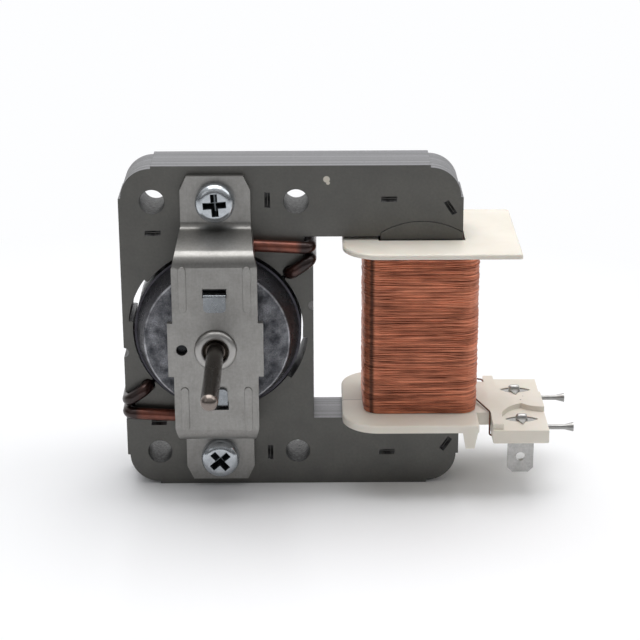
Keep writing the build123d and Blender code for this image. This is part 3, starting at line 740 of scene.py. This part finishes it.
# Painted shade on the rear part of the lower flange, behind the seam.
rear_flange_shade = ((20.0, 3.9, -15.7), (28.0, 20.0, -15.3), 0.2, 0.12)
bobbin_plastic = moulded(
    "bobbin_plastic", (0.735, 0.68, 0.59), (0.84, 0.80, 0.72), 0.42,
    (*shaded_pits, *shaded_pocket_floors, flange_seam, rear_flange_shade),
)
spacer_nylon = moulded("spacer_nylon", (0.66, 0.65, 0.60), (0.78, 0.77, 0.73), 0.4)
print("plastic:", bobbin_plastic.name, spacer_nylon.name)

# %% Bronze and felt
# Dark with oil, and darkened further as painted shade of the deep bearing hole.
shaded_bronze, tree, shader, coords = new_material("bearing_bronze", metallic=0.8)
pores = clouds(tree, coords, 0.18, 2.0, 3.0)
feed(
    tree, shader,
    base_color=blend_colour(tree, pores, rgb(0.006, 0.005, 0.004), rgb(0.040, 0.028, 0.017)),
    roughness=span(tree, pores, 0.5, 0.3),
)
raise_bumps(tree, shader, pores, 0.02)

felt, tree, shader, coords = new_material("oil_felt", roughness=0.95, sheen_weight=0.3)
hair = streaks(tree, coords, (1.0, 0.3, 0.6), 0.25, 2.4)
wool = blend_colour(tree, hair, rgb(0.30, 0.27, 0.22), rgb(0.58, 0.54, 0.46))
feed(tree, shader, base_color=wool)
raise_bumps(tree, shader, hair, 0.08)
print("bearing finishes:", shaded_bronze.name, felt.name)

# %% [markdown]
# ## Finishes for the nodes that stay
# A CAD node whose shape is right keeps its mesh and only gets a material.

# %% Materials of the CAD nodes
finishes = {
    core_steel: ["stator_core", "coil_leg"],
    bar_copper: ["upper_large_shading_ring", "lower_large_shading_ring"],
    bend_copper: ["upper_small_shading_ring", "lower_small_shading_ring"],
    rotor_steel: ["rotor_core"],
    cast: ["rotor_cage"],
    shaft_steel: ["shaft"],
    galvanised: ["front_bracket", "rear_bracket"],
    zinc: ["bracket_screws"],
    bobbin_plastic: ["bobbin"],
    coil_copper: ["coil_core", "coil_winding"],
    lead_copper: ["front_lead", "rear_lead"],
    spacer_nylon: ["front_rotor_spacer", "rear_rotor_spacer"],
    washer_steel: ["front_thrust_washer", "rear_thrust_washer"],
    shaded_bronze: ["front_bearing", "rear_bearing"],
    felt: ["front_oil_felt", "rear_oil_felt"],
    spring_zinc: ["front_bearing_retainer", "rear_bearing_retainer"],
    tinned: ["front_terminal", "rear_terminal"],
}
for material, names in finishes.items():
    for name in names:
        nodes[name].data.materials.clear()
        nodes[name].data.materials.append(material)
print("nodes with a finish:", sum(len(names) for names in finishes.values()))

# %% [markdown]
# ## The lamination stack
# Core and leg are stacks of steel sheets, half a millimetre thick. Lines in the
# material alone would leave a smooth outline, so the joints are cut into the
# walls: three bisect planes at each joint, and the middle line is then pressed
# in along the normals. Front and back stay as the press left them.

# %% Sheet joints
def cut_joints(piece, first, last, width, depth):
    """Presses a fine groove into the walls of a stack at every joint."""
    sheets = round((last - first) / (SHEET * MM))
    levels = [first + SHEET * MM * step for step in range(1, sheets)]
    only(piece)
    bpy.ops.object.mode_set(mode="EDIT")
    for level in levels:
        for place in (level - width, level, level + width):
            bpy.ops.mesh.select_all(action="SELECT")
            bpy.ops.mesh.bisect(plane_co=(0, place, 0), plane_no=(0, 1, 0))
    bpy.ops.object.mode_set(mode="OBJECT")
    at_joint = [
        min(abs(point.co.y - level) for level in levels) < 0.1 * width
        for point in piece.data.vertices
    ]
    choose(piece, "VERT", at_joint)
    bpy.ops.transform.shrink_fatten(value=-depth)
    bpy.ops.object.mode_set(mode="OBJECT")
    print(piece.name, "joints:", len(levels), "points pressed in:", sum(at_joint))


PRESS_EDGE = 0.06 * MM
JOINT_WIDTH = JOINT_DEPTH = 0.05 * MM
for node, name in (("stator_core", "core_stack"), ("coil_leg", "leg_stack")):
    stack = merged_copy(node, name)
    soften(stack, PRESS_EDGE, angle=50, segments=1)
    cut_joints(stack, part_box(node)[0].y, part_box(node)[1].y, JOINT_WIDTH, JOINT_DEPTH)
    shade(stack, 25)
    dress(stack, core_steel, "stator", "core_steel", node)

# %% [markdown]
# ## Soft edges
# Pressed and moulded pieces have small rounds that catch the light. Each node
# here is copied, the edges that turn by more than an angle are bevelled, and the
# copy stands for the node.

# %% Rounded copies
rounded = (
    ("bobbin", "bobbin_moulding", bobbin_plastic, "bobbin_plastic", 0.15, 25),
    ("front_bracket", "front_strap", galvanised, "galvanised_strip", 0.25, 60),
    ("rear_bracket", "rear_strap", galvanised, "galvanised_strip", 0.25, 60),
    ("front_terminal", "front_tag", tinned, "tinned_terminals", 0.05, 25),
    ("rear_terminal", "rear_tag", tinned, "tinned_terminals", 0.05, 25),
)
for node, name, material, slot, width, angle in rounded:
    piece = merged_copy(node, name)
    soften(piece, width * MM, angle)
    dress(piece, material, "stator", slot, node)

# %% [markdown]
# ## The coil
# The real coil has thousands of turns of wire about as thick as a hair, and only
# its outer layer shows. A block with lines painted on it looks flat at its
# corners, so the outer layer is real wire here: one long path that climbs round
# the bobbin, with small seeded wanders so that the strands aren't ruled lines. A
# plain body fills the inside.

# %% Coil body
def rounded_ring(name, low, high, corner, wall):
    """An upright ring with rounded corners, from a cube: bevel, inset and bridge."""
    bpy.ops.object.select_all(action="DESELECT")
    bpy.ops.mesh.primitive_cube_add(size=1.0)
    piece = bpy.context.active_object
    piece.name = piece.data.name = name
    piece.scale, piece.location = high - low, (low + high) / 2
    bpy.ops.object.transform_apply(location=True, rotation=True, scale=True)
    points = [point.co for point in piece.data.vertices]
    ends = [(points[first], points[last]) for first, last in piece.data.edge_keys]
    choose(piece, "EDGE", [abs((last - first).normalized().z) > 0.9 for first, last in ends])
    bpy.ops.mesh.bevel(offset=corner, segments=8, affect="EDGES")
    bpy.ops.object.mode_set(mode="OBJECT")
    choose(piece, "FACE", [abs(face.normal.z) > 0.9 for face in piece.data.polygons])
    bpy.ops.mesh.inset(thickness=wall)
    bpy.ops.mesh.bridge_edge_loops()
    bpy.ops.object.mode_set(mode="OBJECT")
    return piece


WIRE = 0.34 * MM
TUBE_GAP = 0.1 * MM
COIL_BUILD = 1.85 * MM
BODY_CORNER = 2.8 * MM
spool_low, spool_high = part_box("coil_winding")
skin = Vector((0.8 * WIRE, 0.8 * WIRE, 0.0))
coil_body = rounded_ring(
    "coil_body", spool_low + skin, spool_high - skin, BODY_CORNER, COIL_BUILD - skin.x - TUBE_GAP,
)
shade(coil_body)
dress(coil_body, coil_copper, "stator", "coil_copper", "coil_core")


# %% Path of the wire
def round_the_spool(low, high, corner, inset):
    """Points once round a rounded rectangle. Whole numbers mark corners, and halves mark sides."""
    middle = ((low + high) / 2).xy
    reach = (high - low).xy / 2 - Vector((corner, corner))
    arcs = []
    for turn, (sx, sy) in enumerate(((1, 1), (-1, 1), (-1, -1), (1, -1))):
        centre = middle + Vector((sx * reach.x, sy * reach.y))
        angles = [math.radians(90 * turn + 22.5 * step) for step in range(5)]
        arcs.append([
            centre + (corner - inset) * Vector((math.cos(angle), math.sin(angle)))
            for angle in angles
        ])
    points = []
    for turn, arc in enumerate(arcs):
        start, end = arc[-1], arcs[(turn + 1) % 4][0]
        points += [(point, turn) for point in arc]
        points += [(start.lerp(end, step / 4), turn + 0.5) for step in (1, 2, 3)]
    return points


def wander(chance, amount):
    """Small offsets at the corners and sides of one turn, by place."""
    return {place / 2: chance.uniform(-amount, amount) for place in range(8)}


def wire_piece(name, points, thickness):
    """A round wire along a list of points, as a mesh."""
    data = bpy.data.curves.new(name, "CURVE")
    data.dimensions, data.bevel_depth, data.bevel_resolution = "3D", thickness / 2, 1
    data.use_fill_caps = True
    spline = data.splines.new("POLY")
    spline.points.add(len(points) - 1)
    for point, place in zip(spline.points, points):
        point.co = (*place, 1.0)
    piece = bpy.data.objects.new(name, data)
    bpy.context.scene.collection.objects.link(piece)
    only(piece)
    bpy.ops.object.convert(target="MESH")
    piece = bpy.context.active_object
    piece.data.name = name
    bpy.ops.object.shade_smooth()
    return piece


# %% Outer layer of the coil
WIRE_CORNER = 3.2 * MM
END_MARGIN, PITCH, SINK = 0.7 * WIRE, 0.97 * WIRE, 0.3 * WIRE
LEVEL_PLAY, DEPTH_PLAY = 0.42 * WIRE, 0.3 * WIRE
chance = random.Random(61)
ring = round_the_spool(spool_low, spool_high, WIRE_CORNER, WIRE / 2)
spool_middle = ((spool_low + spool_high) / 2).xy
climb = spool_high.z - spool_low.z - 2 * END_MARGIN
turns = int(climb / PITCH)
rise = climb / turns
strand = []
for turn in range(turns):
    level, depth = wander(chance, LEVEL_PLAY), wander(chance, DEPTH_PLAY)
    for index, (place, part) in enumerate(ring):
        inwards = (spool_middle - place).normalized() * (SINK + depth[part])
        height = spool_low.z + END_MARGIN + rise * (turn + index / len(ring)) + level[part]
        strand.append((place.x + inwards.x, place.y + inwards.y, height))
outer_layer = wire_piece("coil_outer_layer", strand, WIRE)
dress(outer_layer, coil_copper, "stator", "coil_copper", "coil_winding")
print("turns in the outer layer:", turns, "points:", len(strand))

# %% [markdown]
# ## Camera, floor and light
# The camera stands where the photograph was taken: 20 degrees above the motor, a
# little to the right of its middle, with a long lens. The floor is pale and turns
# into the white backdrop away from the motor. A large soft lamp overhead gives the
# gentle shadow under the stack, and two weak ones fill in from the sides.

# %% Camera
STAND = (15.609, -328.392, 122.552)
LOOK_DOWN, PAN, ROLL = 20.204, -0.22, -0.212
camera_data = bpy.data.cameras.new("camera")
camera_data.lens = 109.23
camera_data.sensor_width = 36.0
camera_data.clip_start = 0.01
camera = bpy.data.objects.new("camera", camera_data)
bpy.context.scene.collection.objects.link(camera)
camera.matrix_world = (
    Matrix.Translation(Vector(STAND) * MM)
    @ Matrix.Rotation(math.radians(PAN), 4, "Z")
    @ Matrix.Rotation(math.radians(90 - LOOK_DOWN), 4, "X")
    @ Matrix.Rotation(math.radians(ROLL), 4, "Z")
)
bpy.context.scene.camera = camera
bpy.context.scene.view_settings.view_transform = "Standard"
print("lens:", camera_data.lens, "mm")

# %% Floor
FLOOR_LEVEL = cad_box[0][2] - 0.02 * MM
bpy.ops.object.select_all(action="DESELECT")
bpy.ops.mesh.primitive_plane_add(size=8.0, location=(0, 0, FLOOR_LEVEL))
floor = bpy.context.active_object
floor.name = "floor"
white, tree, shader, coords = new_material(
    "floor_white", roughness=0.9, base_color=rgb(0.93, 0.935, 0.95),
)
away = put(tree, "ShaderNodeVectorMath", {0: coords["Object"]}, operation="LENGTH").outputs["Value"]
ray = put(tree, "ShaderNodeLightPath").outputs
seen = math_node(tree, "MULTIPLY", ray["Is Camera Ray"], ramp(tree, away, 60.0, 160.0))
glow = put(tree, "ShaderNodeEmission", {"Color": rgb(0.985, 0.99, 1.0), "Strength": 1.0})
both = put(tree, "ShaderNodeMixShader", {0: seen, 1: shader.outputs[0], 2: glow.outputs[0]})
tree.links.new(both.outputs[0], tree.nodes["Material Output"].inputs["Surface"])
floor.data.materials.append(white)
print("floor at Z", FLOOR_LEVEL)

# %% World
world = bpy.data.worlds.new("studio")
bpy.context.scene.world = world
world.use_nodes = True
tree = world.node_tree
tree.nodes.clear()
ray = put(tree, "ShaderNodeLightPath").outputs
look = split(tree, put(tree, "ShaderNodeTexCoord").outputs["Generated"])
mirrored = math_node(tree, "MULTIPLY", ray["Is Glossy Ray"], fade(tree, look["Y"], 0.1, 0.6))
plain = math_node(tree, "MAXIMUM", ray["Is Camera Ray"], ray["Is Transmission Ray"])
seen = math_node(tree, "MAXIMUM", plain, mirrored)
sky = span(tree, fade(tree, look["Z"], 0.1, 0.9), 0.09, 0.6)
soft = put(tree, "ShaderNodeBackground", {"Color": rgb(1, 1, 1), "Strength": sky})
backdrop = put(tree, "ShaderNodeBackground", {"Color": rgb(1, 1, 1), "Strength": 1.0})
mixed = put(tree, "ShaderNodeMixShader", {0: seen, 1: soft.outputs[0], 2: backdrop.outputs[0]})
put(tree, "ShaderNodeOutputWorld", {"Surface": mixed.outputs[0]})
print("world:", world.name)


# %% Lamps
def softbox(name, place, target, size, power):
    """A square area lamp that faces a point of the motor."""
    data = bpy.data.lights.new(name, "AREA")
    data.size, data.energy = size, power
    lamp = bpy.data.objects.new(name, data)
    bpy.context.scene.collection.objects.link(lamp)
    lamp.location = Vector(place)
    aim = Vector(target) - lamp.location
    lamp.rotation_euler = aim.to_track_quat("-Z", "Y").to_euler()


motor_middle = (0.0118, 0.005, 0.0)
softbox("overhead", (0.0, 0.10, 0.55), motor_middle, 0.55, 2.65)
softbox("front_left", (-0.50, -0.50, 0.40), motor_middle, 0.35, 0.15)
softbox("right_side", (0.45, 0.02, 0.42), motor_middle, 0.35, 0.6)

# %% [markdown]
# ## Sizes
# Looks must not change the size of the motor.
